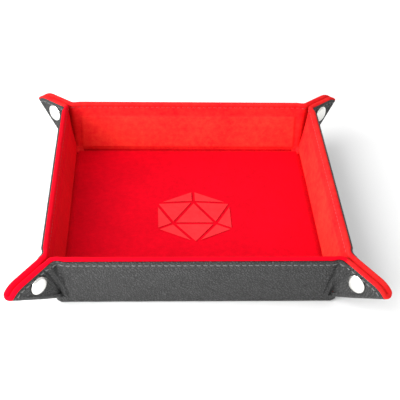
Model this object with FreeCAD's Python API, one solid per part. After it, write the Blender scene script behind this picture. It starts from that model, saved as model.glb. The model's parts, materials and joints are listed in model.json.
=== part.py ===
import FreeCAD, Part
import math
import os

# Folding dice tray, set up with its four corner snaps closed.
#
# Millimetres and degrees, +Z up.  The origin is the middle of the underside, on the table.
# +Y is the back of the tray and +X its right-hand side.
#
# The tray is a square sheet sandwich: a leather cover outside, a velvet lining inside, and stiff
# boards between them in the floor and in each wall.  The soft strip between two boards is a hinge.
# Each wall ends in two triangular ears.  At a corner the ear of one wall and the ear of the next
# lie face to face, pointing outwards, and a ring snap holds them together.
#
# Every piece is drawn lying flat, as part of the front wall, and is then folded up to its place
# and turned round to its own wall.

# ---- driving dimensions -------------------------------------------------------------------
FLAT_SIZE = 254.0  # side of the square when it lies unsnapped and flat
BASE_SPAN = 175.0  # between the hinge lines of opposite walls
WALL_LEAN = 11.0  # how far a raised wall leans outwards from upright
CORNER_RADIUS = 16.0  # rounding of the flat square's four corners

LEATHER = 1.0  # layer thicknesses
BOARD = 1.8
LINING = 1.2
EAR_LINING = 2.0  # lining with its hem turned in

HINGE_LENGTH = 162.0  # length of the crease roll along each wall
CREASE_ROLL_RADIUS = 1.65  # pinched roll of leather along the floor's edge
CREASE_CLEARANCE = 0.05  # the wall leather's running clearance round that roll
LAYER_SETBACK = 1.75  # floor and wall lining stop this far from the hinge line

WALL_BOARD_LENGTH = 164.0
WALL_BOARD_BOTTOM = 4.0  # distances up the wall from its hinge line
WALL_BOARD_TOP = 29.0
BOARD_CLEARANCE = 0.3  # between a board's edge and the turned-in hem round it
BOARD_CORNER = 2.0  # chamfer on the boards' corners

EAR_OFFSET = 3.1  # middle of a closed ear from the corner's plane of symmetry
EAR_SETBACK = 0.95  # bare crease on each side of an ear's hinge line
EAR_START = 3.0  # the ears' stiff part starts this far from the floor's crease
EAR_PIVOT_HEIGHT = 20.0  # the front ears droop about this point of their hinge line
FRONT_EAR_DROOP = 11.0  # how far the two front ears sag in their own plane

STITCH_PITCH = 4.0
STITCH_LENGTH = 2.6
STITCH_RADIUS = 0.3
STITCH_EDGE = 3.3  # from the rim to the row of stitches
STITCHES_PER_ROW = 45

SNAP_ALONG = 34.0  # snap centre from the ear's apex, along the corner's diagonal
SNAP_ACROSS = 8.6  # and square to the diagonal, towards the rim
CAP_RADIUS = 6.25
CAP_HEIGHT = 1.9
CAP_EDGE = 0.35  # height of the cap's straight edge
CAP_SHEET = 0.5
BARREL_RADIUS = 1.6
BARREL_BORE = 1.2
BARREL_CLEARANCE = 0.05
FLARE_RADIUS = 1.85
FLARE_HEIGHT = 0.25
SOCKET_RADIUS = 5.25
SOCKET_HEIGHT = 2.4
SOCKET_SHEET = 0.4
SOCKET_LIP = 0.3
SOCKET_CAVITY = 2.8
SOCKET_MOUTH = 2.55
SPRING_GROOVE_RADIUS = 3.1
SPRING_GROOVE_HEIGHT = 0.55
SPRING_INNER_RADIUS = 2.25
SPRING_WIRE = 0.48
SPRING_GAP_ANGLE = 40.0
STUD_RADIUS = 4.75
STUD_FLANGE = 0.5
STUD_HEIGHT = 2.4
STUD_NECK = 2.15
STUD_BULB = 2.4
STUD_NECK_LENGTH = 1.1
STUD_SHEET = 0.25

# ---- sizes that follow ----------------------------------------------------------------------
HALF_BASE = BASE_SPAN / 2
WALL_REACH = (FLAT_SIZE - BASE_SPAN) / 2  # hinge line to rim
FOLD = 90.0 - WALL_LEAN  # how far a wall turns up from lying flat
HALF_THICKNESS = (LEATHER + BOARD + LINING) / 2
HINGE_HEIGHT = HALF_THICKNESS  # the hinge lines run in the middle of the sandwich

# levels through the sandwich, counted from its middle, lining side positive
LEATHER_OUT = -HALF_THICKNESS
LEATHER_IN = LEATHER_OUT + LEATHER
LINING_IN = HALF_THICKNESS - LINING
LINING_OUT = HALF_THICKNESS
HEM_MEET = (LEATHER_IN + LINING_IN) / 2  # the two turned-in hems meet here
EAR_HALF = (LEATHER + EAR_LINING) / 2

# A raised wall's end follows the line where it meets the corner's plane of symmetry.
# In the wall's own plane that line leans outwards by EAR_LEAN, and the ear folds there by EAR_FOLD.
FOLD_RAD = math.radians(FOLD)
EAR_LEAN = math.degrees(math.atan(math.cos(FOLD_RAD)))
EAR_FOLD = math.degrees(math.acos(math.sin(FOLD_RAD) / math.sqrt(2)))
EAR_SHIFT = EAR_OFFSET * math.sqrt(2)
EAR_APEX_X = HALF_BASE - EAR_SHIFT  # where an ear's hinge line meets the wall's hinge line

X_AXIS = FreeCAD.Vector(1, 0, 0)
Z_AXIS = FreeCAD.Vector(0, 0, 1)
WALLS = ("front", "right", "back", "left")
FAR = 400.0  # size of the blocks that trim pieces


def flat(along, reach, level):
    """A point of the front wall lying flat: along it, out from its hinge, through its thickness."""
    return FreeCAD.Vector(along, -HALF_BASE - reach, HINGE_HEIGHT + level)


def plate(outline, low, high):
    """A flat plate of the front wall over (along, reach) points, between two levels."""
    points = [flat(along, reach, low) for along, reach in outline]
    face = Part.Face(Part.makePolygon(points + points[:1]))
    return face.extrude(FreeCAD.Vector(0, 0, high - low))


def turned(profile, centre):
    """A solid of revolution about an upright line, from edges drawn in its XZ plane."""
    solid = Part.Face(Part.Wire(profile)).revolve(FreeCAD.Vector(0, 0, 0), Z_AXIS, 360)
    return solid.translated(centre)


def segments(points):
    """Straight edges through (radius, height) points, in order."""
    corners = [FreeCAD.Vector(radius, 0, height) for radius, height in points]
    return [Part.LineSegment(*pair).toShape() for pair in zip(corners, corners[1:])]


# ---- floor ----------------------------------------------------------------------------------
def floor_plate(half_side, cut, low, high):
    """A square floor plate with cut corners, between two levels of the sandwich."""
    near = half_side - cut
    corners = [(near, -half_side), (half_side, -near), (half_side, near), (near, half_side)]
    corners += [(-x, -y) for x, y in corners]
    points = [FreeCAD.Vector(x, y, HINGE_HEIGHT + low) for x, y in corners]
    face = Part.Face(Part.makePolygon(points + points[:1]))
    return face.extrude(FreeCAD.Vector(0, 0, high - low))


def base_board():
    return floor_plate(HALF_BASE - LAYER_SETBACK - 0.25, 3.0, LEATHER_IN, LINING_IN)


def base_lining():
    return floor_plate(HALF_BASE - LAYER_SETBACK, 2.5, LINING_IN, LINING_OUT)


def base_leather():
    """The cover under the floor, with a rolled crease along each side."""
    cover = floor_plate(HALF_BASE, 4.0, LEATHER_OUT, LEATHER_IN)
    start = flat(-HINGE_LENGTH / 2, 0, 0)
    roll = Part.makeCylinder(CREASE_ROLL_RADIUS, HINGE_LENGTH, start, X_AXIS)
    for index in range(4):
        cover = cover.fuse(roll.rotated(FreeCAD.Vector(), Z_AXIS, 90 * index))
    return cover.removeSplitter()


# ---- walls ----------------------------------------------------------------------------------
def wall_outline(low, high):
    """The front wall between two reaches, its slanting ends clear of the ears' hinge lines."""
    lean = math.tan(math.radians(EAR_LEAN))
    setback = EAR_SETBACK / math.cos(math.radians(EAR_LEAN))
    half_low = EAR_APEX_X - setback + low * lean
    half_high = EAR_APEX_X - setback + high * lean
    return [(-half_low, low), (half_low, low), (half_high, high), (-half_high, high)]


def hem(low, high):
    """The hem turned in along the wall's rim and ends, round three sides of the board."""
    band = plate(wall_outline(LAYER_SETBACK, WALL_REACH), low, high)
    half = WALL_BOARD_LENGTH / 2 + BOARD_CLEARANCE
    top = WALL_BOARD_TOP + BOARD_CLEARANCE
    pocket = plate([(-half, 0), (half, 0), (half, top), (-half, top)], low, high)
    return band.cut(pocket)


def wall_leather():
    cover = plate(wall_outline(CREASE_CLEARANCE, WALL_REACH), LEATHER_OUT, LEATHER_IN)
    cover = cover.fuse(hem(LEATHER_IN, HEM_MEET))
    radius = CREASE_ROLL_RADIUS + CREASE_CLEARANCE
    groove = Part.makeCylinder(radius, FAR, flat(-FAR / 2, 0, 0), X_AXIS)
    return cover.cut(groove).removeSplitter()


def wall_lining():
    face = plate(wall_outline(LAYER_SETBACK, WALL_REACH), LINING_IN, LINING_OUT)
    return face.fuse(hem(HEM_MEET, LINING_IN)).removeSplitter()


def wall_board():
    half, near = WALL_BOARD_LENGTH / 2, WALL_BOARD_LENGTH / 2 - BOARD_CORNER
    low, high = WALL_BOARD_BOTTOM, WALL_BOARD_TOP
    outline = [(-near, low), (near, low), (half, low + BOARD_CORNER), (half, high - BOARD_CORNER)]
    outline += [(near, high), (-near, high), (-half, high - BOARD_CORNER), (-half, low + BOARD_CORNER)]
    return plate(outline, LEATHER_IN, LINING_IN)


def stitch(along, level, side):
    """One stitch: a half-round bar lying on the leather or on the lining."""
    reach = WALL_REACH - STITCH_EDGE
    ends = [flat(along, reach + offset, level) for offset in (-STITCH_RADIUS, STITCH_RADIUS)]
    crown = flat(along, reach, level + side * STITCH_RADIUS)
    arc = Part.Arc(ends[0], crown, ends[1]).toShape()
    base = Part.LineSegment(ends[1], ends[0]).toShape()
    return Part.Face(Part.Wire([arc, base])).extrude(X_AXIS * STITCH_LENGTH)


def wall_stitching():
    """The rows of thread just below the rim, on both faces of the wall."""
    first = -(STITCHES_PER_ROW - 1) / 2 * STITCH_PITCH - STITCH_LENGTH / 2
    bars = []
    for number in range(STITCHES_PER_ROW):
        along = first + number * STITCH_PITCH
        bars.append(stitch(along, LEATHER_OUT, -1))
        bars.append(stitch(along, LINING_OUT, 1))
    return Part.makeCompound(bars)


# ---- ears, drawn on the right-hand end of the front wall ------------------------------------
def ear_pivot():
    """The point of the ear's hinge line about which a soft ear droops."""
    return flat(EAR_APEX_X + EAR_PIVOT_HEIGHT * math.tan(math.radians(EAR_LEAN)), EAR_PIVOT_HEIGHT, 0)


def outside_hinge(droop):
    """The room on the ear's side of its crease, for an ear that droops by this angle."""
    block = Part.makeBox(FAR, FAR, FAR, FreeCAD.Vector(EAR_SETBACK, -FAR / 2, -FAR / 2))
    block.rotate(FreeCAD.Vector(), Z_AXIS, EAR_LEAN)
    block.translate(ear_pivot())
    return block.rotated(ear_pivot(), Z_AXIS, -droop)


def ear_plate(droop, low, high):
    """The ear between its hinge line, the rim, the rounded corner and the corner's diagonal."""
    centre = WALL_REACH - CORNER_RADIUS
    turn = math.radians(45) + math.asin(EAR_OFFSET / CORNER_RADIUS)
    middle = (math.radians(90) + turn) / 2

    def at(across, reach):
        return flat(HALF_BASE + across, reach, low)

    def on_corner(angle):
        return at(centre + CORNER_RADIUS * math.cos(angle), centre + CORNER_RADIUS * math.sin(angle))

    apex, rim_start = at(-EAR_SHIFT, 0), at(-EAR_SHIFT, WALL_REACH)
    rim_end, tip = on_corner(math.radians(90)), on_corner(turn)
    edges = [
        Part.LineSegment(apex, rim_start).toShape(),
        Part.LineSegment(rim_start, rim_end).toShape(),
        Part.Arc(rim_end, on_corner(middle), tip).toShape(),
        Part.LineSegment(tip, apex).toShape(),
    ]
    ear = Part.Face(Part.Wire(edges)).extrude(FreeCAD.Vector(0, 0, high - low))
    ear = ear.common(outside_hinge(0)).common(outside_hinge(droop))
    start = Part.makeBox(FAR, FAR, FAR, flat(0, EAR_START + FAR, -FAR / 2))
    hole = Part.makeCylinder(BARREL_RADIUS + BARREL_CLEARANCE, FAR, snap_centre(-FAR / 2), Z_AXIS)
    return ear.common(start).cut(hole)


def ear_leather(droop):
    return ear_plate(droop, -EAR_HALF, -EAR_HALF + LEATHER)


def ear_lining(droop):
    return ear_plate(droop, EAR_HALF - EAR_LINING, EAR_HALF)


# ---- ring snaps -----------------------------------------------------------------------------
def snap_centre(level):
    along, across = SNAP_ALONG / math.sqrt(2), SNAP_ACROSS / math.sqrt(2)
    return flat(EAR_APEX_X + along - across, along + across, level)


def snap_cap(stack):
    """The domed cap on the leather and its barrel, flared over a flange of the given thickness."""
    skirt, top = -EAR_HALF - CAP_EDGE, -EAR_HALF - CAP_HEIGHT
    rise = CAP_HEIGHT - CAP_EDGE
    sphere = (CAP_RADIUS**2 + rise**2) / (2 * rise)
    inner_sphere = sphere - CAP_SHEET
    centre = top + sphere

    def dome(radius, ball):
        return FreeCAD.Vector(radius, 0, centre - math.sqrt(ball**2 - radius**2))

    def arc(start, end, ball):
        return Part.Arc(dome(start, ball), dome((start + end) / 2, ball), dome(end, ball)).toShape()

    seat = EAR_HALF + stack
    inside = CAP_RADIUS - CAP_SHEET
    inner_edge, barrel_foot = dome(inside, inner_sphere), dome(BARREL_RADIUS, inner_sphere)
    bore_foot = dome(BARREL_BORE, inner_sphere)
    edge = segments([(CAP_RADIUS, skirt), (CAP_RADIUS, -EAR_HALF), (inside, -EAR_HALF),
                     (inside, inner_edge.z)])
    barrel = segments([(BARREL_RADIUS, barrel_foot.z), (BARREL_RADIUS, seat), (FLARE_RADIUS, seat),
                       (FLARE_RADIUS, seat + FLARE_HEIGHT), (BARREL_BORE, seat + FLARE_HEIGHT),
                       (BARREL_BORE, bore_foot.z)])
    floor = segments([(0, dome(0, inner_sphere).z), (0, top)])
    profile = [arc(0, CAP_RADIUS, sphere)] + edge + [arc(inside, BARREL_RADIUS, inner_sphere)]
    profile += barrel + [arc(BARREL_BORE, 0, inner_sphere)] + floor
    return turned(profile, snap_centre(0))


def snap_socket():
    """The socket: a round cup with a lipped mouth and a groove that holds the ring spring."""
    floor = EAR_HALF + SOCKET_SHEET
    lip = EAR_HALF + SOCKET_HEIGHT - SOCKET_LIP
    top = EAR_HALF + SOCKET_HEIGHT
    bore = BARREL_RADIUS + BARREL_CLEARANCE
    chamfer = 0.4
    points = [
        (bore, EAR_HALF), (SOCKET_RADIUS, EAR_HALF), (SOCKET_RADIUS, top - chamfer),
        (SOCKET_RADIUS - chamfer, top), (SOCKET_MOUTH, top), (SOCKET_MOUTH, lip),
        (SPRING_GROOVE_RADIUS, lip), (SPRING_GROOVE_RADIUS, lip - SPRING_GROOVE_HEIGHT),
        (SOCKET_CAVITY, lip - SPRING_GROOVE_HEIGHT), (SOCKET_CAVITY, floor), (bore, floor),
        (bore, EAR_HALF),
    ]
    return turned(segments(points), snap_centre(0))


def snap_spring():
    """The split ring of round wire in the socket's groove, which grips the stud's neck."""
    level = EAR_HALF + SOCKET_HEIGHT - SOCKET_LIP - SPRING_GROOVE_HEIGHT / 2
    middle = SPRING_INNER_RADIUS + SPRING_WIRE / 2
    circle = Part.Circle(FreeCAD.Vector(middle, 0, level), FreeCAD.Vector(0, 1, 0), SPRING_WIRE / 2)
    section = Part.Face(Part.Wire([circle.toShape()]))
    ring = section.revolve(FreeCAD.Vector(0, 0, 0), Z_AXIS, 360 - SPRING_GAP_ANGLE)
    return ring.translated(snap_centre(0))


def snap_stud():
    """The stud: a flange on the lining and a hollow boss whose bulb snaps past the spring."""
    flange, top = EAR_HALF + STUD_FLANGE, EAR_HALF + STUD_HEIGHT
    shoulder = EAR_HALF + STUD_FLANGE + STUD_NECK_LENGTH
    bore = BARREL_RADIUS + BARREL_CLEARANCE
    hollow = STUD_NECK - STUD_SHEET
    slope = STUD_BULB - STUD_NECK
    points = [
        (bore, EAR_HALF), (STUD_RADIUS, EAR_HALF), (STUD_RADIUS, flange), (STUD_NECK, flange),
        (STUD_NECK, shoulder), (STUD_BULB, shoulder + slope), (STUD_BULB, top - slope),
        (STUD_NECK - slope, top), (0, top), (0, top - STUD_SHEET), (hollow, top - STUD_SHEET),
        (hollow, flange), (bore, flange), (bore, EAR_HALF),
    ]
    return turned(segments(points), snap_centre(0))


# ---- folding up and writing -----------------------------------------------------------------
def raise_wall(shape, index):
    """Fold a piece of the front wall up to its lean, and turn it round to wall number index."""
    up = shape.rotated(flat(0, 0, 0), X_AXIS, -FOLD)
    return up.rotated(FreeCAD.Vector(), Z_AXIS, 90 * index)


def raise_ear(shape, index, end, droop):
    """Droop and fold a piece of an ear, put it on its end of the wall, and raise that wall."""
    hinge = FreeCAD.Vector(math.sin(math.radians(EAR_LEAN)), -math.cos(math.radians(EAR_LEAN)), 0)
    folded = shape.rotated(ear_pivot(), Z_AXIS, droop).rotated(ear_pivot(), hinge, -EAR_FOLD)
    if end < 0:
        folded = folded.mirror(FreeCAD.Vector(), X_AXIS)
    return raise_wall(folded, index)


def ears():
    """Wall number, end, name and droop of every ear; it is named after its wall and the next."""
    for index, wall in enumerate(WALLS):
        for end in (1, -1):
            neighbour = WALLS[(index + end) % 4]
            droop = FRONT_EAR_DROOP if "front" in (wall, neighbour) else 0.0
            yield index, end, f"{wall}_{neighbour}", droop


def build():
    """Every node of the tray, by name."""
    nodes = {"base_board": base_board(), "lining_base": base_lining(), "leather_base": base_leather()}
    for index, wall in enumerate(WALLS):
        nodes[f"wall_board_{wall}"] = raise_wall(wall_board(), index)
        nodes[f"leather_wall_{wall}"] = raise_wall(wall_leather(), index)
        nodes[f"lining_wall_{wall}"] = raise_wall(wall_lining(), index)
        nodes[f"stitching_{wall}"] = raise_wall(wall_stitching(), index)
    for index, end, name, droop in ears():
        nodes[f"leather_ear_{name}"] = raise_ear(ear_leather(droop), index, end, droop)
        nodes[f"lining_ear_{name}"] = raise_ear(ear_lining(droop), index, end, droop)
        has_socket = index % 2 == 0
        stack = SOCKET_SHEET if has_socket else STUD_FLANGE
        nodes[f"snap_cap_{name}"] = raise_ear(snap_cap(stack), index, end, droop)
        if has_socket:
            nodes[f"snap_socket_{name}"] = raise_ear(snap_socket(), index, end, droop)
            nodes[f"snap_spring_{name}"] = raise_ear(snap_spring(), index, end, droop)
        else:
            nodes[f"snap_stud_{name}"] = raise_ear(snap_stud(), index, end, droop)
    return nodes


def main():
    os.makedirs("parts", exist_ok=True)
    for name, shape in build().items():
        if not shape.isValid():
            print("not valid:", name)
        shape.exportStep(f"parts/{name}.step")


main()
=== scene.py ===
import json
import math
import bmesh
import bpy
import numpy as np
from mathutils import Matrix, Vector


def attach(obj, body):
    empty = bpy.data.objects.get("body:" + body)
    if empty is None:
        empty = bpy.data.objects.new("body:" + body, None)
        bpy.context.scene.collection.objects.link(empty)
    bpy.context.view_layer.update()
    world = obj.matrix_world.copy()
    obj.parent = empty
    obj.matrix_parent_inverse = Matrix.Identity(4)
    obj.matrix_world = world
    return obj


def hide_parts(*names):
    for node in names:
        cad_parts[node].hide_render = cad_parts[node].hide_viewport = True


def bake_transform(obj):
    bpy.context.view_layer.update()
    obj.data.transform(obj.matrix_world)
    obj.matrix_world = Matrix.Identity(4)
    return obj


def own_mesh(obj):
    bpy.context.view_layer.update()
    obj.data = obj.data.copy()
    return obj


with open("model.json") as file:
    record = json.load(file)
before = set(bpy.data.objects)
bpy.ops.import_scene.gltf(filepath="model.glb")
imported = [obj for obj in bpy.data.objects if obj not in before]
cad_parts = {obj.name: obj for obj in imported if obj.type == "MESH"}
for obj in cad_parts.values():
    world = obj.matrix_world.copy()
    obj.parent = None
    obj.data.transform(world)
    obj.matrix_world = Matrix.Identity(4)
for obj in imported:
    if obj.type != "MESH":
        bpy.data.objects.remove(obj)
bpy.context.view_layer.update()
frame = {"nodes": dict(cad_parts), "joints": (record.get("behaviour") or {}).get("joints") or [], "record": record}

# The folding dice tray: a leather cover and a velvet lining over stiff boards, four corner snaps.
#
# All cloth is drawn on the opened, flat tray, in millimetres, and is then folded up to rest with
# the frame's own joints.
# A place on a wall is (along, reach, level): along the wall from its middle, out from its hinge
# line, and up through the sandwich from its middle, velvet side positive.

MM = 0.001
WALLS = ("front", "right", "back", "left")
CORNERS = ("front_right", "right_back", "back_left", "left_front")
JOINTS = {joint["name"]: joint for joint in frame["joints"]}
RATIOS = {c["joint"]: c["ratio"] for c in frame["record"]["behaviour"]["couplings"]}

# ---- driving dimensions, in mm -------------------------------------------------------------
HALF_BASE = abs(JOINTS["wall_front_fold"]["pos_m"][1]) / MM
HINGE_HEIGHT = JOINTS["wall_front_fold"]["pos_m"][2] / MM
FOLD = math.radians(JOINTS["wall_front_fold"]["range_deg"][1])
FLAT_SIZE = 254.0
CORNER_RADIUS = 16.0
RIM_PROUD = 0.5  # the stuffed rim stands this far outside the cut square
EAR_OFFSET = 3.1  # middle of a closed ear from the corner's plane of symmetry
BOARD_HALF = 82.0  # the wall board: half its length, and its two reaches
BOARD_LOW = 4.0
BOARD_HIGH = 29.0
STITCH_PITCH = 4.0
STITCH_LENGTH = 2.9
STITCH_RADIUS = 0.38
STITCH_IN = 3.8  # row of stitches from the outside of the rim
WALL_STITCHES = 20  # on each side of the wall's middle one

FLOOR_EDGE = 6.0  # the floor's cloth stops this far inside the hinge lines
CREASE_BAND = 2.8  # half the width of cloth that bends at the floor's crease
FOOT_TOP = 3.0  # reach where a wall's crease strip meets its face
FOOT_HALF = 86.5  # half the length of that strip
EAR_INSET = 9.0  # the ears' cloth starts this far before their hinge line
EAR_BAND = 4.2  # half the width of cloth that bends at an ear's hinge line
BAND_TILT = 0.14  # that band is steeper than the hinge line by this slope
CURL_START = 0.4  # reach from which the two ears of a corner are joined by a turned edge
PINCH = 1.3  # how much nearer the two ears of a corner come to each other at the floor's corner
PINCH_LENGTH = 24.0  # along the corner's diagonal
LEATHER_EDGE = 1.4  # the leather's cut edge from the outside of the rim
TURNED_LAP = 1.4  # the turned edge starts this many times its own width from the diagonal
STIFF_FROM = 2.5  # reach below which the turned edge bends like the ears' cloth beside it
STIFF_OVER = 8.0  # and above which, this much further on, it is stiff
TURNED_DEPTH = ((-1.5, -0.5, -0.4, 1.5, 2.9), (3.08, 3.03, 2.98, 0.9, 0.3))  # by level in an ear
SNAP_ALONG = 34.0  # snap centre from the ear's apex, along the corner's diagonal
SNAP_ACROSS = 8.6  # and square to the diagonal, towards the rim

# ---- sizes that follow -----------------------------------------------------------------------
RIM = FLAT_SIZE / 2 - HALF_BASE + RIM_PROUD
RIM_RADIUS = CORNER_RADIUS + RIM_PROUD
CORNER_REACH = RIM - RIM_RADIUS
CORNER_ALONG = HALF_BASE + CORNER_REACH
LEAN = math.atan(math.cos(FOLD))
EAR_SHIFT = EAR_OFFSET * math.sqrt(2)
APEX = HALF_BASE - EAR_SHIFT
SNAP_PLACE = (APEX + (SNAP_ALONG - SNAP_ACROSS) / math.sqrt(2), (SNAP_ALONG + SNAP_ACROSS) / math.sqrt(2))


# ---- folding -----------------------------------------------------------------------------------
def ramp(t):
    """Goes smoothly from 0 to 1 as t does."""
    t = np.clip(t, 0.0, 1.0)
    return t * t * (3.0 - 2.0 * t)


def turned(points, axis, origin, angle):
    """Points turned about an axis, by one angle for all or one for each."""
    angle = np.asarray(angle, float)[..., None]
    arm = points - origin
    along = (arm @ axis)[..., None] * axis
    return origin + along + (arm - along) * np.cos(angle) + np.cross(axis, arm) * np.sin(angle)


def bent(points, axis, origin, angle, start, end):
    low, high = np.zeros(points.shape[:-1]), np.ones(points.shape[:-1])
    direction = (end - start) / np.sum((end - start) ** 2)
    for _ in range(36):
        share = (low + high) / 2
        reached = ramp((turned(points, axis, origin, -angle * share) - start) @ direction)
        low, high = np.where(reached > share, share, low), np.where(reached > share, high, share)
    return turned(points, axis, origin, -angle * (low + high) / 2)


def hinge(name):
    """A joint's axis and a point on it, in mm."""
    joint = JOINTS[name]
    axis = np.array(joint["axis"])
    return axis / np.linalg.norm(axis), np.array(joint["pos_m"]) / MM


def opened(index, along, reach, level):
    """Places of wall number index on the opened tray, in the frame's own axes."""
    x, y = along, -HALF_BASE - reach
    for _ in range(index):
        x, y = -y, x
    return np.stack(np.broadcast_arrays(x, y, HINGE_HEIGHT + level), -1)


def crease_band(index):
    """Where the bend at the floor's crease starts and ends, at rest."""
    axis, origin = hinge(f"wall_{WALLS[index]}_fold")
    start = opened(index, 0.0, -CREASE_BAND, 0.0)
    end = turned(opened(index, 0.0, CREASE_BAND, 0.0), axis, origin, -FOLD)
    return start, end


def raise_wall(index, points):
    """Folds a wall's cloth up to rest."""
    axis, origin = hinge(f"wall_{WALLS[index]}_fold")
    return bent(points, axis, origin, FOLD, *crease_band(index))


def ear_name(index, end):
    return f"{WALLS[index]}_{WALLS[(index + end) % 4]}"


def ear_band(index, end):
    """Where the bend at an ear's hinge line starts and ends, at rest."""
    axis, origin = hinge(f"wall_{WALLS[index]}_fold")
    pivot = hinge(f"ear_{ear_name(index, end)}_fold")[1]

    def upright(along, reach):
        step = opened(index, along, reach, 0.0) - opened(index, 0.0, 0.0, 0.0)
        return turned(step, axis, np.zeros(3), -FOLD)

    line = upright(end * math.sin(LEAN), math.cos(LEAN))
    inward = upright(-end * math.cos(LEAN), math.sin(LEAN))
    diagonal = opened(index, end * 1.0, 1.0, 0.0) - opened(index, 0.0, 0.0, 0.0)
    outward = diagonal - (diagonal @ line) * line
    outward /= np.linalg.norm(outward)
    tilt = EAR_BAND * BAND_TILT * line
    return pivot + EAR_BAND * inward - tilt, pivot + EAR_BAND * outward + tilt


def raise_ear(index, end, points, stiff=False):
    """Folds an ear's cloth up with its wall, and then out about its hinge line."""
    name = f"ear_{ear_name(index, end)}_fold"
    up = turned(points, *hinge(f"wall_{WALLS[index]}_fold"), -FOLD)
    if stiff:
        return turned(up, *hinge(name), -RATIOS[name] * FOLD)
    return bent(up, *hinge(name), RATIOS[name] * FOLD, *ear_band(index, end))


# ---- cloth thickness --------------------------------------------------------------------------
NOISE_CELLS = 61  # the noise repeats after this many grains


def noise(place, grain, seed):
    """Smooth noise from -1 to 1 over the opened tray; grain is its size in mm."""
    table = np.random.RandomState(seed).uniform(-1, 1, (NOISE_CELLS, NOISE_CELLS))
    x, y = place[..., 0] / grain, place[..., 1] / grain
    i, j = np.floor(x).astype(int), np.floor(y).astype(int)
    a, b = ramp(x - i), ramp(y - j)
    i0, j0, i1, j1 = (n % NOISE_CELLS for n in (i, j, i + 1, j + 1))
    low = table[i0, j0] * (1 - a) + table[i1, j0] * a
    high = table[i0, j1] * (1 - a) + table[i1, j1] * a
    return low * (1 - b) + high * b


def bump(x, middle, width):
    """A soft hump of height 1."""
    return np.exp(-(((x - middle) / width) ** 2))


def over_board(along, reach):
    """1 over the wall's board, 0 off it."""
    edge = 0.8
    inside = ramp((BOARD_HALF + edge - np.abs(along)) / edge)
    return inside * ramp((reach - BOARD_LOW + edge) / edge) * ramp((BOARD_HIGH + edge - reach) / edge)


def past_hinge(along, reach):
    """How far a place is past the ear's hinge line, towards the ear."""
    line = APEX + reach * math.tan(LEAN)
    return (np.abs(along) - line) * math.cos(LEAN)


def ear_share(along, reach):
    """0 on the floor and walls, 1 on the ears."""
    return ramp((past_hinge(along, reach) + 2.0) / 6.0) * ramp(reach / FOOT_TOP)


def pinch(along, reach):
    """How far an ear leans towards its neighbour, most at the floor's corner."""
    from_corner = (np.abs(along) - HALF_BASE + reach) / math.sqrt(2)
    share = ear_share(along, reach)
    return PINCH * share * (1.0 - ramp(from_corner / PINCH_LENGTH))


def round_snap(along, reach, radius, fade):
    """1 within a radius of the snap, fading to 0 outside it."""
    away = np.hypot(np.abs(along) - SNAP_PLACE[0], reach - SNAP_PLACE[1])
    return 1.0 - ramp((away - radius) / fade)


def half_round(d, radius):
    """Profile of a tube's side: 0 at its edge, 1 at its middle."""
    return np.sqrt(np.clip(1.0 - ((np.clip(d, 0, radius) - radius) / radius) ** 2, 0.0, 1.0))


def rolled(d, edge, crest, valley, face):
    """Level of one face of the rim: round the roll, down to the stitches, then on to the face."""
    crown, row = 1.9, STITCH_IN
    side = edge + (crest - edge) * half_round(d, crown)
    fall = valley + (crest - valley) * np.cos(np.clip((d - crown) / (row - crown), 0, 1) * math.pi / 2)
    after = valley + (face - valley) * ramp((d - row) / 2.0)
    return np.where(d < crown, side, np.where(d < row, fall, after))


def tucked(d, edge, belly, lip):
    """Level of the rim's outer side: round the roll and in behind the leather's edge."""
    round_to, in_at = 1.25, 1.7
    side = edge + (belly - edge) * half_round(d, round_to)
    return np.where(d < round_to, side, belly + (lip - belly) * ramp((d - round_to) / (in_at - round_to)))


def velvet_levels(place, along, reach, d):
    """Upper and lower level of the lining, d inside the rim."""
    ear = ear_share(along, reach)
    board = over_board(along, reach)
    wall_top = rolled(d, 0.4, 2.3, 1.45, 1.6) + 0.5 * board
    ear_top = rolled(d, 0.6, 2.9, 1.2, 1.5)
    top = wall_top + (ear_top - wall_top) * ear
    top = top + 0.07 * noise(place, 11, 3) + 0.05 * noise(place, 4.5, 4)
    top = top + 0.16 * bump(d, 1.6, 1.6) * noise(place, 7, 5)
    outer = tucked(d, 0.4, -1.3, -0.9)
    outer_ear = tucked(d, 0.6, -1.35, -0.42)
    low = outer + (outer_ear - outer) * ear
    inside = ramp((d - 3.0) / 0.8)
    back = 0.8 - 0.3 * (1 - board) * ramp((d - 3.0) / 3.0)
    back = back + (-0.4 - back) * ear
    low = low + (back - low) * inside
    crease = 0.1 + 1.05 * np.abs(reach)
    top = np.where(crease < top, crease, top) - 0.3 * round_snap(along, reach, 5.0, 3.0)
    low = np.where(d <= 1e-6, top, np.minimum(low, top - 0.45))
    lean = pinch(along, reach)
    return top + lean, low + lean


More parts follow.
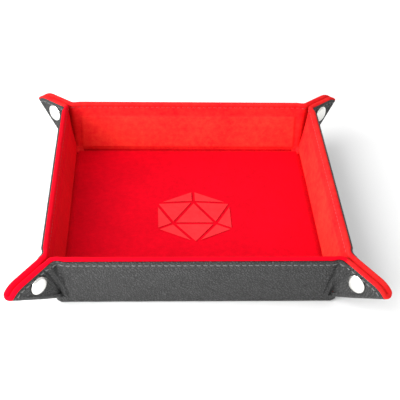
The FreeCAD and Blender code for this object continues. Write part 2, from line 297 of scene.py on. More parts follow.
def leather_levels(place, along, reach, d):
    """Outer and inner level of the cover, d inside the rim; its edge is just inside the roll."""
    past = past_hinge(along, reach)
    ear = ear_share(along, reach)
    board = over_board(along, reach)
    cut = ramp((d - LEATHER_EDGE) / 0.5)
    wall_out = -1.84 - 0.16 * board - 1.0 * (1 - ramp((d - 2.6) / 4.5))
    out = wall_out + (-1.5 - wall_out) * ear
    inner = -1.0 + 0.5 * ear
    middle = (out + inner) / 2
    out = middle + (out - middle) * (0.35 + 0.65 * cut)
    inner = middle + (inner - middle) * (0.35 + 0.65 * cut)
    out = out + 0.28 * bump(d, STITCH_IN, 0.45)
    # the cover puckers where it folds inwards between the wall and its ear
    high = ramp((reach - 3.0) / 4.0) * ramp((d - 1.5) / 4.0)
    sway = 0.6 * noise(place, 7, 12)
    crease = bump(past, -3.0 + sway, 0.7) + bump(past, 3.2 + sway, 0.7) - 1.1 * bump(past, 0.1, 1.7)
    out = out + high * 0.8 * crease * (1 + 0.4 * noise(place, 5, 11))
    out = out + (0.05 * noise(place, 9, 8) + 0.03 * noise(place, 3.5, 9))
    out = out + 0.35 * round_snap(along, reach, 5.5, 2.2)
    lean = pinch(along, reach)
    return out + lean, np.maximum(inner, out + 0.3) + lean


# ---- meshes --------------------------------------------------------------------------------------
def cut_size(grids):
    """A sheet laid open: its two sizes and its area, in metres."""
    area, spots = 0.0, []
    for _, _, place, _ in grids:
        one = place[1:, 1:] - place[:-1, :-1]
        two = place[1:, :-1] - place[:-1, 1:]
        area += 0.5 * np.abs(one[..., 0] * two[..., 1] - one[..., 1] * two[..., 0]).sum() * MM * MM
        spots.append(place.reshape(-1, 3) * MM)
    width, length, _ = np.ptp(np.concatenate(spots), 0).tolist()
    return (width, length), min(area, width * length)


def slab_faces(rows, cols):
    """Faces of a closed slab: upper grid, lower grid and the sides between them."""
    number = np.arange(rows * cols).reshape(rows, cols)
    faces = []
    for grid, flip in ((number, False), (number + rows * cols, True)):
        quads = np.stack([grid[:-1, :-1], grid[:-1, 1:], grid[1:, 1:], grid[1:, :-1]], -1).reshape(-1, 4)
        faces += (quads[:, ::-1] if flip else quads).tolist()
    loop = np.concatenate([number[0, :], number[1:, -1], number[-1, -2::-1], number[-2:0:-1, 0]])
    following = np.roll(loop, -1)
    faces += np.stack([loop, loop + rows * cols, following + rows * cols, following], -1).tolist()
    return faces


def cloth(name, grids, material):
    """A piece made of closed slabs. Each grid is (upper, lower at rest, upper, lower when opened)."""
    verts, faces, pattern, first = [], [], [], 0
    for upper, lower, upper_flat, lower_flat in grids:
        rows, cols = upper.shape[:2]
        verts += [upper.reshape(-1, 3), lower.reshape(-1, 3)]
        pattern += [upper_flat.reshape(-1, 3), lower_flat.reshape(-1, 3)]
        faces += [[first + i for i in face] for face in slab_faces(rows, cols)]
        first += 2 * rows * cols
    mesh = bpy.data.meshes.new(name)
    mesh.from_pydata((np.concatenate(verts) * MM).tolist(), [], faces)
    attribute = mesh.attributes.new("opened", "FLOAT_VECTOR", "POINT")
    attribute.data.foreach_set("vector", (np.concatenate(pattern) * MM).astype(np.float32).ravel())
    finish_mesh(mesh)
    return add_object(name, mesh, material)


def finish_mesh(mesh, sharp=50.0):
    """Closes seams, points the faces outwards, and shades smooth but for sharp edges."""
    work = bmesh.new()
    work.from_mesh(mesh)
    bmesh.ops.remove_doubles(work, verts=work.verts, dist=2e-6)
    bmesh.ops.dissolve_degenerate(work, edges=work.edges, dist=1e-7)
    bmesh.ops.recalc_face_normals(work, faces=work.faces)
    for face in work.faces:
        face.smooth = True
    for edge in work.edges:
        edge.smooth = not edge.is_manifold or edge.calc_face_angle(0.0) < math.radians(sharp)
    work.to_mesh(mesh)
    work.free()


def add_object(name, mesh, material):
    piece = bpy.data.objects.new(name, mesh)
    bpy.context.scene.collection.objects.link(piece)
    mesh.materials.append(material)
    return piece


def spread(start, stop, count):
    return np.linspace(start, stop, count)


RIM_ROWS = np.concatenate([
    1.9 * (1 - np.cos(spread(0, math.pi / 2, 9))),
    spread(1.9, 4.6, 10)[1:],
    spread(4.6, 7.0, 4)[1:],
])


def face_rows(lowest):
    """Distances inside the rim, close together at the roll, down to the lowest reach."""
    bottom = RIM - lowest
    count = int((bottom - RIM_ROWS[-1]) / 1.1)
    return np.concatenate([RIM_ROWS, spread(RIM_ROWS[-1], bottom, count + 1)[1:]])


def leather_rows(rows):
    """The same rows, starting at the leather's cut edge."""
    return np.concatenate([[LEATHER_EDGE], rows[rows > LEATHER_EDGE + 0.05]])


def level_pair(levels, index, along, reach, d):
    """A grid's upper and lower places on the opened tray."""
    place = opened(index, along, reach, 0.0)
    upper, lower = levels(place, along, reach, d)
    return opened(index, along, reach, upper), opened(index, along, reach, lower)


# ---- floor and walls -----------------------------------------------------------------------------
def make_floor(name, levels, material):
    steps = spread(-1, 1, 83) * (HALF_BASE - FLOOR_EDGE)
    x, y = np.meshgrid(steps, steps, indexing="ij")
    reach = -HALF_BASE - y
    upper, lower = level_pair(levels, 0, x, np.minimum(reach, -FLOOR_EDGE), np.full_like(x, 50.0))
    for grid in (upper, lower):
        grid[..., 0], grid[..., 1] = x, y
    return cloth(name, [(upper, lower, upper, lower)], material)


def wall_end(reach):
    """Half the length of a wall's cloth at a reach."""
    face = APEX + reach * math.tan(LEAN) - EAR_INSET / math.cos(LEAN)
    strip = np.minimum(HALF_BASE + reach, FOOT_HALF)
    return np.where(reach < FOOT_TOP - 1e-6, strip, face)


def make_wall(index, name, levels, material, rows):
    share = spread(-1, 1, 87)
    grids = []
    face = (RIM - rows)[:, None]
    strip = spread(FOOT_TOP, -FLOOR_EDGE, 16)[:, None]
    for reach, ends in ((face, wall_end(face)), (strip, wall_end(strip - 1e-5))):
        along = share[None, :] * ends
        reach = np.broadcast_to(reach, along.shape)
        upper, lower = level_pair(levels, index, along, reach, RIM - reach)
        grids.append((raise_wall(index, upper), raise_wall(index, lower), upper, lower))
    piece = cloth(name, grids, material)
    start, end = crease_band(index)
    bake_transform(piece)
    return piece, *cut_size(grids)


# ---- ears ----------------------------------------------------------------------------------------
def row_shape(d):
    """Of the line d inside the rim: its corner's radius and arc length, and its length from the
    corner's diagonal to the turned edge and to the ear's start."""
    radius = max(RIM_RADIUS - d, 0.0)
    arc = radius * math.pi / 4
    reach = CORNER_REACH + radius if radius else RIM - d
    straight_from = CORNER_ALONG if radius else HALF_BASE + reach
    if radius > EAR_SHIFT:
        edge = radius * math.asin(EAR_OFFSET / radius)
    else:
        edge = arc + EAR_SHIFT - radius
    start = straight_from - (APEX + reach * math.tan(LEAN) - EAR_INSET / math.cos(LEAN)) + arc
    return radius, arc, edge, start


def on_row(d, lengths):
    """Along and reach at lengths from the corner's diagonal, on the line d inside the rim."""
    radius, arc, _, _ = row_shape(d)
    if radius == 0.0:
        reach = RIM - d
        return HALF_BASE + reach - lengths, np.full_like(lengths, reach)
    angle = math.pi / 4 + np.minimum(lengths / radius, math.pi / 4)
    along = CORNER_ALONG + radius * np.cos(angle) - np.maximum(lengths - arc, 0.0)
    return along, CORNER_REACH + radius * np.sin(angle)


def ear_grid(rows, share_of):
    """Along and reach of a grid over rows; share_of(edge, start) gives a row's lengths."""
    found = []
    for d in rows:
        _, _, edge, start = row_shape(d)
        found.append(on_row(d, share_of(edge, start)))
    return np.array([f[0] for f in found]), np.array([f[1] for f in found])


def make_ear(index, end, name, levels, material, rows):
    shares = spread(0, 1, 40)
    along, reach = ear_grid(rows, lambda edge, start: start + (edge - start) * shares)
    d = np.broadcast_to(rows[:, None], along.shape)
    upper, lower = level_pair(levels, index, end * along, reach, d)
    grid = (raise_ear(index, end, upper), raise_ear(index, end, lower), upper, lower)
    piece = cloth(name, [grid], material)
    start, stop = ear_band(index, end)
    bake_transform(piece)
    return piece, *cut_size([grid])


def make_turned_edge(index, end, name, levels, material, rows):
    """Half of the U-turn that joins a corner's two ears, from this ear to the plane of symmetry."""
    shares = np.concatenate([[TURNED_LAP, 1.1], spread(1, 0, 10)])
    along, reach = ear_grid(rows, lambda edge, start: edge * shares)
    d = np.broadcast_to(rows[:, None], along.shape)
    place = opened(index, end * along, reach, 0.0)
    past_edge = np.maximum(EAR_OFFSET - (HALF_BASE + reach - along) / math.sqrt(2), 0.0)
    angle = np.clip(past_edge / EAR_OFFSET, 0, 1) * math.pi / 2
    lap = 0.15 * (shares > 1.0)
    upper_lower = []
    for level, tuck in zip(levels(place, along, reach, d), (-lap, lap)):
        depth = np.interp(level - pinch(along, reach), *TURNED_DEPTH)
        shift = (depth * np.sin(angle) - past_edge) / math.sqrt(2)
        curled = EAR_OFFSET - (EAR_OFFSET - level - tuck) * np.cos(angle)
        upper_lower.append(opened(index, end * (along + shift), reach - shift, curled))
    upper, lower = upper_lower
    follow = (1 - ramp((reach - STIFF_FROM) / STIFF_OVER))[..., None]
    folded = []
    for face in upper_lower:
        stiff = raise_ear(index, end, face, True)
        folded.append(stiff + follow * (raise_ear(index, end, face) - stiff))
    grid = (*folded, upper, lower)
    piece = cloth(name, [grid], material)
    ear = ear_name(index, end)
    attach(piece, f"ear_{ear}")
    diagonal = opened(index, end * 1.0, 1.0, 0.0) - opened(index, 0.0, 0.0, 0.0)
    row = len(rows) // 2
    anchor = raise_ear(index, end, opened(index, end * along[row, 0], reach[row, 0], 0.3), True)
    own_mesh(piece)
    return piece


# ---- sewing thread -----------------------------------------------------------------------------
def thread_run(spots, level, side):
    """Stitches as bars of twisted thread whose ends dive into the cloth. A spot is its middle,
    (along, reach), and its direction.  Returns along, reach and level of every point."""
    along, reach, way_along, way_reach = (np.asarray(part)[:, None, None] for part in spots)
    station = spread(-1, 1, 9)[None, :, None]
    around = (spread(0, 2 * math.pi, 9)[:-1])[None, None, :]
    radius = STITCH_RADIUS * (1.0 + 0.14 * np.cos(2 * around + 7.0 * station)) * (1 - 0.25 * station**4)
    run = station * STITCH_LENGTH / 2
    aside = radius * np.cos(around)
    height = 0.12 - 0.5 * station**6 + radius * np.sin(around)
    level = np.asarray(level)[:, None, None] + side * height
    return along + run * way_along - aside * way_reach, reach + run * way_reach + aside * way_along, level


def thread_piece(name, points, material):
    """A piece from rest points of stitches, (stitch, station, around, 3)."""
    count, stations, ring = points.shape[:3]
    number = np.arange(count * stations * ring).reshape(count, stations, ring)
    turn = np.roll(number, -1, 2)
    faces = np.stack([number[:, :-1], number[:, 1:], turn[:, 1:], turn[:, :-1]], -1).reshape(-1, 4).tolist()
    faces += number[:, 0, ::-1].tolist() + number[:, -1].tolist()
    mesh = bpy.data.meshes.new(name)
    mesh.from_pydata((points.reshape(-1, 3) * MM).tolist(), [], faces)
    finish_mesh(mesh, sharp=80.0)
    return add_object(name, mesh, material)


def seam_levels(along, reach):
    """Level of the stitches' bottoms on the leather and on the velvet."""
    ear = ear_share(along, reach)
    return -2.58 + 1.18 * ear, 1.42 - 0.22 * ear


def wall_thread(index, outside):
    middle = np.arange(-WALL_STITCHES, WALL_STITCHES + 1) * STITCH_PITCH
    reach = np.full(len(middle), RIM - STITCH_IN)
    level = seam_levels(middle, reach)[0 if outside else 1]
    ways = np.ones(len(middle)), np.zeros(len(middle))
    places = opened(index, *thread_run((middle, reach, *ways), level, -1 if outside else 1))
    name = f"thread_{WALLS[index]}" + ("" if outside else "_inside")
    material = BLACK_THREAD if outside else RED_THREAD
    axis, origin = hinge(f"wall_{WALLS[index]}_fold")
    piece = thread_piece(name, turned(places, axis, origin, -FOLD), material)
    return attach(piece, f"wall_{WALLS[index]}")


def ear_thread(index, end, outside):
    """The same row of stitches round the ear's rim and corner."""
    _, arc, edge, _ = row_shape(STITCH_IN)
    first = CORNER_ALONG + arc - (WALL_STITCHES + 1) * STITCH_PITCH
    middle = np.arange(first, edge + STITCH_LENGTH / 2, -STITCH_PITCH)
    along, reach = on_row(STITCH_IN, middle)
    ahead, ahead_reach = on_row(STITCH_IN, middle - 0.1)
    ways = (ahead - along) / 0.1, (ahead_reach - reach) / 0.1
    level = seam_levels(along, reach)[0 if outside else 1]
    along, reach, level = thread_run((along, reach, *ways), level, -1 if outside else 1)
    places = raise_ear(index, end, opened(index, end * along, reach, level))
    ear = ear_name(index, end)
    name = f"thread_{ear}" + ("" if outside else "_inside")
    piece = thread_piece(name, places, BLACK_THREAD if outside else RED_THREAD)
    start, stop = ear_band(index, end)
    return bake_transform(piece)


# ---- snaps -----------------------------------------------------------------------------------------
CAP_RADIUS = 6.25
CAP_HEIGHT = 1.9
CAP_SHEET = 0.5
BEAD = 0.42  # rolled edge of the cap
BARREL_RADIUS = 1.6
BARREL_BORE = 1.2
FLARE_RADIUS = 1.85
FLARE_HEIGHT = 0.25
EAR_FACE = 1.5  # level of an ear's two faces


def cap_profile(stack):
    """Radius and level of the cap's section, from the middle of its dome to its barrel's bore."""
    def dome(radius, height):
        return -EAR_FACE - height * np.sqrt(1 - (np.asarray(radius) / (CAP_RADIUS + 0.1)) ** 2.3)

    outside = spread(0.0, CAP_RADIUS - BEAD, 14)
    turn = spread(-math.pi / 2, math.pi / 2, 7)
    bead_level = dome(outside[-1], CAP_HEIGHT) + BEAD
    inside = spread(CAP_RADIUS - 2 * BEAD, BARREL_RADIUS, 6)
    seat = EAR_FACE + stack
    radii = [outside, outside[-1] + BEAD * np.cos(turn[1:]), inside,
             [BARREL_RADIUS, FLARE_RADIUS, FLARE_RADIUS, BARREL_BORE, BARREL_BORE, 0.0]]
    levels = [dome(outside, CAP_HEIGHT), bead_level + BEAD * np.sin(turn[1:]),
              dome(inside, CAP_HEIGHT - CAP_SHEET),
              [seat, seat, seat + FLARE_HEIGHT, seat + FLARE_HEIGHT, -EAR_FACE, -EAR_FACE]]
    return np.concatenate(radii), np.concatenate(levels)


def make_cap(index, end, stack):
    """A domed cap with its barrel, turned about the snap's centre."""
    radii, levels = cap_profile(stack)
    around = spread(0, 2 * math.pi, 49)[:-1]
    along = SNAP_PLACE[0] + radii[:, None] * np.cos(around)
    reach = SNAP_PLACE[1] + radii[:, None] * np.sin(around)
    level = np.broadcast_to(levels[:, None], along.shape)
    places = raise_ear(index, end, opened(index, end * along, reach, level), True)
    rings, ring = along.shape
    number = np.arange(rings * ring).reshape(rings, ring)
    turn = np.roll(number, -1, 1)
    faces = np.stack([number[:-1], number[1:], turn[1:], turn[:-1]], -1).reshape(-1, 4).tolist()
    name = f"cap_{ear_name(index, end)}"
    mesh = bpy.data.meshes.new(name)
    mesh.from_pydata((places.reshape(-1, 3) * MM).tolist(), [], faces)
    finish_mesh(mesh, sharp=40.0)
    piece = add_object(name, mesh, NICKEL)
    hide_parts(f"snap_cap_{ear_name(index, end)}")
    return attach(piece, f"ear_{ear_name(index, end)}")


# ---- floor corners and mark ----------------------------------------------------------------------
HEEL_INSIDE = 6.0  # how far the corner pieces reach in from the hinge lines
HEEL_RADIUS = 1.2  # of the corner, at the hinge lines
HEEL_OUTER = -1.95  # levels of its two faces
HEEL_INNER = -0.9
GATHER_RADIUS = 4.5
# The velvet corner pieces beside the right and back walls take those walls' painted light too.
NAP_SHIFT = 1.06  # the corner pieces' texture is that of the wall next to them


def corner_sweep(index, name, section, radius, material):
    """A closed section, (out from the hinge line, height), swept round a floor corner."""
    out, height = np.array(section).T
    straight = spread(HEEL_INSIDE - radius, 0.0, 5)[:-1]
    turn = spread(0.0, math.pi / 2, 9)
    side = HALF_BASE + out
    centre = np.minimum(HALF_BASE - radius, side)
    x, y = [], []
    for back in straight:
        x.append(np.minimum(HALF_BASE - radius - back, side))
        y.append(-side)
    for angle in turn:
        x.append(centre + (side - centre) * math.sin(angle))
        y.append(-centre - (side - centre) * math.cos(angle))
    for back in straight[::-1]:
        x.append(side)
        y.append(-np.minimum(HALF_BASE - radius - back, side))
    x, y = np.array(x), np.array(y)
    for _ in range(index):
        x, y = -y, x
    places = np.stack([x, y, np.broadcast_to(height, x.shape)], -1)
    rings, ring = x.shape
    number = np.arange(rings * ring).reshape(rings, ring)
    following = np.roll(number, -1, 1)
    faces = np.stack([number[:-1], number[1:], following[1:], following[:-1]], -1).reshape(-1, 4).tolist()
    faces += [number[0, ::-1].tolist(), number[-1].tolist()]
    mesh = bpy.data.meshes.new(name)
    mesh.from_pydata((places.reshape(-1, 3) * MM).tolist(), [], faces)
    attribute = mesh.attributes.new("opened", "FLOAT_VECTOR", "POINT")
    attribute.data.foreach_set("vector", (places * NAP_SHIFT * MM).astype(np.float32).ravel())
    finish_mesh(mesh)
    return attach(add_object(name, mesh, material), "base")


def leather_heel(index):
    """The cover folded round a floor corner, below the two ears; it flattens between the layers."""
    reach = np.concatenate([spread(-4.5, 4.2, 15), [4.7, 4.9, 4.4], spread(3.6, -4.5, 8)])
    level = np.concatenate([np.full(15, HEEL_OUTER), [-1.7, -1.3, HEEL_INNER], np.full(8, HEEL_INNER)])
    folded = raise_wall(0, opened(0, 0.0, reach, level))
    section = [(-HALF_BASE - point[1], point[2]) for point in folded]
    heel = corner_sweep(index, f"cover_corner_{CORNERS[index]}", section, HEEL_RADIUS, BLACK_LEATHER)
    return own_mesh(heel)


def velvet_gather(index):
    """The lining gathered into a floor corner."""
    section = [(-3.0, 2.7), (-2.5, 3.2), (-1.9, 3.5), (-1.35, 4.0), (-0.95, 4.8), (-0.75, 5.8), (-0.5, 6.4),
               (-0.1, 6.6), (0.4, 6.2), (0.2, 4.5), (-0.2, 2.8), (-1.5, 2.4)]
    gather = corner_sweep(index, f"velvet_corner_{CORNERS[index]}", section, GATHER_RADIUS, RED_VELVET)
    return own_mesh(gather)


MARK_PLACE = (1.5, -1.5)
MARK_RADIUS = 31.0
MARK_GAP = 2.2  # between the mark's facets
MARK_HEIGHT = 0.14
MARK_INNER = 0.56  # size of its middle facet, as a share of the whole
MARK_FOOT = 1.9  # level of its underside, hidden in the lining
MARK_BASE = 2.0  # level that its height is measured from
MARK_BEVEL = 0.06  # drop of its rounded edge
MARK_BEVEL_IN = 0.15  # and width


def make_mark():
    """A plain twenty-sided die pressed into the nap, as ten facets with gaps between them."""
    def at(degrees, radius):
        angle = math.radians(degrees)
        return np.array([radius * math.cos(angle), radius * math.sin(angle)])

    outline = [at(90 - 60 * k, MARK_RADIUS) for k in range(6)]
    inner = [at(90 - 120 * k, MARK_RADIUS * MARK_INNER) for k in range(3)]
    facets = [inner]
    for k in range(3):
        one, two = inner[k], inner[(k + 1) % 3]
        before, top, middle = outline[2 * k - 1], outline[2 * k], outline[2 * k + 1]
        facets += [[one, middle, two], [one, top, middle], [one, before, top]]
    low = HINGE_HEIGHT + MARK_FOOT
    high = HINGE_HEIGHT + MARK_BASE + MARK_HEIGHT
    verts, faces = [], []
    for facet in facets:
        first = len(verts)
        side = MARK_GAP / 2
        for inset, height in ((side, low), (side, high - MARK_BEVEL), (side + MARK_BEVEL_IN, high)):
            verts += [(*point, height) for point in inset_triangle(facet, inset)]
        faces.append((first + 2, first + 1, first))
        for ring in (first, first + 3):
            faces += [(ring + k, ring + (k + 1) % 3, ring + 3 + (k + 1) % 3, ring + 3 + k) for k in range(3)]
        faces.append((first + 6, first + 7, first + 8))
    places = np.array(verts) + (*MARK_PLACE, 0.0)
    mesh = bpy.data.meshes.new("mark")
    mesh.from_pydata((places * MM).tolist(), [], faces)
    attribute = mesh.attributes.new("opened", "FLOAT_VECTOR", "POINT")
    attribute.data.foreach_set("vector", (places * MM).astype(np.float32).ravel())
    finish_mesh(mesh, sharp=20.0)
    return add_object("mark", mesh, MARK_VELVET)


def inset_triangle(corners, inset):
    """The triangle's corners moved in so that its sides are all nearer by inset."""
    corners = [np.asarray(c) for c in corners]
    lengths = [np.linalg.norm(corners[(k + 1) % 3] - corners[(k + 2) % 3]) for k in range(3)]
    centre = sum(n * c for n, c in zip(lengths, corners)) / sum(lengths)
    one, two = corners[1] - corners[0], corners[2] - corners[0]
    radius = abs(one[0] * two[1] - one[1] * two[0]) / sum(lengths)
    return [centre + (c - centre) * (1 - inset / radius) for c in corners]


# ---- materials -------------------------------------------------------------------------------------
class Nodes:
    """A small helper for writing a node material."""

    def __init__(self, name):
        self.material = bpy.data.materials.new(name)
        self.material.use_nodes = True
        self.tree = self.material.node_tree
        self.shader = self.tree.nodes["Principled BSDF"]

    def add(self, kind, inputs=None, **settings):
        node = self.tree.nodes.new(kind)
        for key, value in settings.items():
            setattr(node, key, value)
        for key, value in (inputs or {}).items():
            self.put(node, key, value)
        return node

    def put(self, node, key, value):
        if isinstance(value, bpy.types.NodeSocket):
            self.tree.links.new(value, node.inputs[key])
        else:
            node.inputs[key].default_value = value

    def shade(self, **inputs):
        for key, value in inputs.items():
            self.put(self.shader, key.replace("_", " "), value)

    def noise(self, place, scale, detail=3.0, roughness=0.5):
        sizes = {"Vector": place, "Scale": scale, "Detail": detail, "Roughness": roughness}
        return self.add("ShaderNodeTexNoise", sizes).outputs["Fac"]

    def colours(self, fac, *stops):
        node = self.add("ShaderNodeValToRGB", {"Fac": fac})
        ramp_stops = node.color_ramp.elements
        while len(ramp_stops) < len(stops):
            ramp_stops.new(0.5)
        for element, (position, colour) in zip(ramp_stops, stops):
            element.position = position
            element.color = (*colour, 1.0)
        return node.outputs["Color"]

    def bump(self, height, strength, distance, normal=None):
        inputs = {"Height": height, "Strength": strength, "Distance": distance}
        if normal is not None:
            inputs["Normal"] = normal
        return self.add("ShaderNodeBump", inputs).outputs["Normal"]

    def maths(self, operation, one, two=0.0, **settings):
        return self.add("ShaderNodeMath", {0: one, 1: two}, operation=operation, **settings).outputs[0]

    def past(self, value, edge):
        """0 below an edge in mm and 1 past it."""
        return self.mapped(value, (edge - 0.7) * MM, (edge + 0.7) * MM, 0.0, 1.0)

    def blend(self, fac, one, two):
        node = self.add("ShaderNodeMix", {"Factor": fac}, data_type="RGBA")
        self.put(node, 6, one)
        self.put(node, 7, two)
        return node.outputs[2]

    def opened(self):
        return self.add("ShaderNodeAttribute", attribute_name="opened").outputs["Vector"]

    def mapped(self, fac, low, high, to_low, to_high):
        inputs = {"Value": fac, "From Min": low, "From Max": high, "To Min": to_low, "To Max": to_high}
        return self.add("ShaderNodeMapRange", inputs).outputs["Result"]


def velvet(name, light, dark, painted_light):
    """Red nap, painted lighter and more orange on the right and back walls, most over their boards: painted light
    where those walls face the lamp.
    """
    m = Nodes(name)
    place = m.opened()
    split = m.add("ShaderNodeSeparateXYZ", {"Vector": place}).outputs
    outward = m.maths("MAXIMUM", split["X"], split["Y"])
    across, back = m.maths("ABSOLUTE", split["X"]), m.maths("ABSOLUTE", split["Y"])
    sideways = m.maths("MINIMUM", across, back)
    # Painted light: a mask of the right and back walls, stronger over their boards, where the nap is painted
    # lighter.
    lit_walls = m.past(outward, HALF_BASE + 1.0)
    past_low, past_high = (m.past(outward, HALF_BASE + edge) for edge in (BOARD_LOW, BOARD_HIGH))
    on_board = m.maths("SUBTRACT", past_low, past_high)
    on_board = m.maths("SUBTRACT", on_board, m.past(sideways, BOARD_HALF), use_clamp=True)
    lit_walls = m.maths("MULTIPLY", lit_walls, m.mapped(on_board, 0.0, 1.0, 0.6, 1.0))
    brushed = m.noise(place, 26.0, 3.0, 0.55)
    nap = m.noise(place, 240.0, 2.0, 0.6)
    pile = m.noise(place, 1500.0, 2.0, 0.7)
    mixed = m.maths("ADD", m.maths("ADD", brushed, nap), pile)
    tone = m.mapped(mixed, 0.8, 2.2, 0.0, 1.0)
    colour = m.colours(tone, (0.2, dark), (0.8, light))
    painted_lit_colour = m.colours(tone, (0.1, light), (0.9, painted_light))
    colour = m.blend(lit_walls, colour, painted_lit_colour)
    normal = m.bump(pile, 0.5, 0.0002, m.bump(nap, 0.3, 0.00015))
    m.shade(Base_Color=colour, Roughness=0.9, Normal=normal, Sheen_Weight=0.12, Sheen_Roughness=0.35,
            Sheen_Tint=(1.0, 0.16, 0.08, 1.0), Specular_IOR_Level=0.05)
    return m.material


def leather(name):
    m = Nodes(name)
    place = m.opened()
    warped = m.add("ShaderNodeTexNoise", {"Vector": place, "Scale": 300.0, "Detail": 2.0})
    shift = m.add("ShaderNodeVectorMath", {0: warped.outputs["Color"], 1: (0.0006, 0.0006, 0.0006)},
                  operation="MULTIPLY").outputs[0]
    moved = m.add("ShaderNodeVectorMath", {0: place, 1: shift}, operation="ADD").outputs[0]
    cells = m.add("ShaderNodeTexVoronoi", {"Vector": moved, "Scale": 640.0},
                  feature="DISTANCE_TO_EDGE").outputs["Distance"]
    pebble = m.mapped(cells, 0.0, 0.28, 0.0, 1.0)
    wear = m.noise(place, 45.0, 4.0, 0.6)
    colour = m.colours(pebble, (0.05, (0.003, 0.003, 0.003)), (0.9, (0.034, 0.034, 0.034)))
    worn = m.blend(m.mapped(wear, 0.3, 0.8, 0.0, 0.3), colour, (0.04, 0.04, 0.04, 1.0))
    rough = m.mapped(pebble, 0.0, 1.0, 0.62, 0.42)
    fine = m.noise(place, 2600.0, 2.0, 0.6)
    normal = m.bump(pebble, 1.0, 0.0004, m.bump(fine, 0.15, 0.0001))
    m.shade(Base_Color=worn, Roughness=rough, Normal=normal, Specular_IOR_Level=0.5)
    return m.material


def metal(name, colour, roughness, fine=900.0):
    m = Nodes(name)
    place = m.add("ShaderNodeTexCoord").outputs["Object"]
    tone = m.noise(place, fine, 3.0, 0.6)
    rough = m.mapped(tone, 0.3, 0.7, roughness * 0.7, roughness * 1.3)
    shaded = m.colours(tone, (0.3, tuple(0.9 * c for c in colour)), (0.7, colour))
    m.shade(Base_Color=shaded, Metallic=1.0, Roughness=rough, Normal=m.bump(tone, 0.08, 0.0001))
    return m.material


def thread(name, dark, light):
    m = Nodes(name)
    place = m.add("ShaderNodeTexCoord").outputs["Object"]
    strands = m.noise(place, 2500.0, 2.0, 0.7)
    m.shade(Base_Color=m.colours(strands, (0.3, dark), (0.7, light)), Roughness=0.7,
            Normal=m.bump(strands, 0.4, 0.0002), Sheen_Weight=0.2)
    return m.material


def cardboard(name):
    m = Nodes(name)
    place = m.add("ShaderNodeTexCoord").outputs["Object"]
    fibre = m.noise(place, 400.0, 5.0, 0.7)
    m.shade(Base_Color=m.colours(fibre, (0.3, (0.19, 0.16, 0.13)), (0.7, (0.3, 0.26, 0.21))),
            Roughness=0.9, Normal=m.bump(fibre, 0.3, 0.0002))
    return m.material


# Each velvet's third colour is painted light, for the right and back walls.
RED_VELVET = velvet("red_velvet", (0.76, 0.0005, 0.013), (0.58, 0.0003, 0.009), (0.9, 0.055, 0.032))
MARK_VELVET = velvet("pressed_velvet", (0.82, 0.034, 0.042), (0.7, 0.022, 0.03), (0.9, 0.05, 0.05))
BLACK_LEATHER = leather("black_leather")
NICKEL = metal("nickel", (0.86, 0.85, 0.82), 0.2)
WIRE = metal("spring_wire", (0.6, 0.6, 0.6), 0.3)
BOARD = cardboard("board")
BLACK_THREAD = thread("black_thread", (0.03, 0.03, 0.03), (0.2, 0.2, 0.2))
RED_THREAD = thread("red_thread", (0.35, 0.004, 0.01), (0.6, 0.02, 0.03))

# ---- build -----------------------------------------------------------------------------------------
velvet_rows = face_rows(FOOT_TOP)
cover_rows = leather_rows(velvet_rows)

floor_velvet = make_floor("velvet_floor", velvet_levels, RED_VELVET)
floor_leather = make_floor("cover_floor", leather_levels, BLACK_LEATHER)
for piece, node, slot in ((floor_velvet, "lining_base", "velvet_red"),
                          (floor_leather, "leather_base", "leather_black")):
    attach(piece, "base")
    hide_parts(node)

for index, wall in enumerate(WALLS):
    for kind, levels, material, rows, slot, node in (
            ("velvet", velvet_levels, RED_VELVET, velvet_rows, "velvet_red", "lining"),
            ("cover", leather_levels, BLACK_LEATHER, cover_rows, "leather_black", "leather")):
        piece, size, area = make_wall(index, f"{kind}_wall_{wall}", levels, material, rows)
        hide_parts(f"{node}_wall_{wall}")
        for end in (1, -1):
            ear = ear_name(index, end)
            flap, size, area = make_ear(index, end, f"{kind}_ear_{ear}", levels, material, rows)
            edge_rows = np.concatenate([rows, spread(RIM - FOOT_TOP, RIM - CURL_START, 4)[1:]])
            edge = make_turned_edge(index, end, f"{kind}_turned_edge_{ear}", levels, material, edge_rows)
            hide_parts(f"{node}_ear_{ear}")

for index, wall in enumerate(WALLS):
    heel, gather = leather_heel(index), velvet_gather(index)
    outside, inside = wall_thread(index, True), wall_thread(index, False)
    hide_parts(f"stitching_{wall}")
    for end in (1, -1):
        ear_thread(index, end, True)
        ear_thread(index, end, False)
        make_cap(index, end, 0.5 if index % 2 else 0.4)
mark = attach(make_mark(), "base")

for name, node in frame["nodes"].items():
    chosen = {"snap": NICKEL, "wall": BOARD, "base": BOARD}.get(name[:4])
    if name.startswith("snap_spring"):
        chosen = WIRE
    if chosen:
        node.data.materials.clear()
        node.data.materials.append(chosen)


# ---- camera, light and floor -----------------------------------------------------------------------
SENSOR = 36.0
LENS = 88.98
CAMERA_TURN = (3.62, 35.6, 2.12)  # yaw, pitch down and roll, in degrees
CAMERA_PLACE = (-0.0306, -0.5658, 0.4228)
SKY_STRENGTH = 0.78
GROUND_HALF = 3.0
GROUND_DROP = 0.0002
GROUND_TONE = 0.98


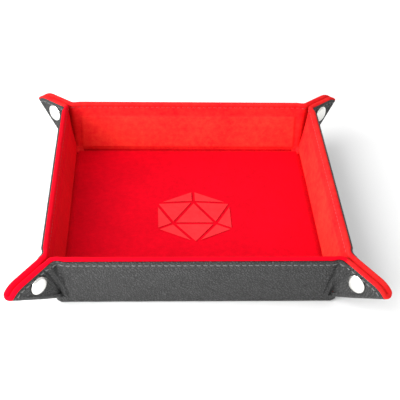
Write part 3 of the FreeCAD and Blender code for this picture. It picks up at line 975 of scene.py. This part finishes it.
def look(yaw, pitch, roll, place):
    """A camera's matrix from its yaw, its pitch down and its roll, in degrees."""
    yaw, pitch, roll = (math.radians(a) for a in (yaw, pitch, roll))
    forward = Vector((math.sin(yaw) * math.cos(pitch), math.cos(yaw) * math.cos(pitch), -math.sin(pitch)))
    right = Vector((math.cos(yaw), -math.sin(yaw), 0.0))
    up = right.cross(forward)
    side = right * math.cos(roll) + up * math.sin(roll)
    top = up * math.cos(roll) - right * math.sin(roll)
    matrix = Matrix((side, top, -forward)).transposed().to_4x4()
    matrix.translation = Vector(place)
    return matrix


camera = bpy.data.objects.new("camera", bpy.data.cameras.new("camera"))
bpy.context.scene.collection.objects.link(camera)
camera.data.sensor_width = SENSOR
camera.data.lens = LENS
camera.matrix_world = look(*CAMERA_TURN, CAMERA_PLACE)
bpy.context.scene.camera = camera


def area_light(name, place, target, size, power):
    light = bpy.data.lights.new(name, "AREA")
    light.shape = "DISK"
    light.size = size
    light.energy = power
    lamp = bpy.data.objects.new(name, light)
    lamp.location = place
    lamp.rotation_mode = "QUATERNION"
    lamp.rotation_quaternion = (Vector(target) - Vector(place)).to_track_quat("-Z", "Y")
    bpy.context.scene.collection.objects.link(lamp)


area_light("key", (-0.95, -0.4, 0.7), (0, 0, 0), 1.5, 24.5)
area_light("fill", (-0.26, -0.34, 0.14), (-0.06, -0.09, 0.02), 0.18, 1.1)
world = bpy.data.worlds.new("studio")
world.use_nodes = True
sky = world.node_tree.nodes["Background"].inputs
sky["Color"].default_value = (1.0, 1.0, 1.0, 1.0)
sky["Strength"].default_value = SKY_STRENGTH
bpy.context.scene.world = world
bpy.context.scene.view_settings.view_transform = "Standard"

ground_mesh = bpy.data.meshes.new("ground")
ends = [(x * GROUND_HALF, y * GROUND_HALF, 0) for x, y in ((-1, -1), (1, -1), (1, 1), (-1, 1))]
ground_mesh.from_pydata(ends, [], [(0, 1, 2, 3)])
paper = Nodes("ground_paper")
paper.shader.inputs["Base Color"].default_value = (GROUND_TONE, GROUND_TONE, GROUND_TONE, 1)
ground = add_object("ground", ground_mesh, paper.material)
ground.location.z = -GROUND_DROP
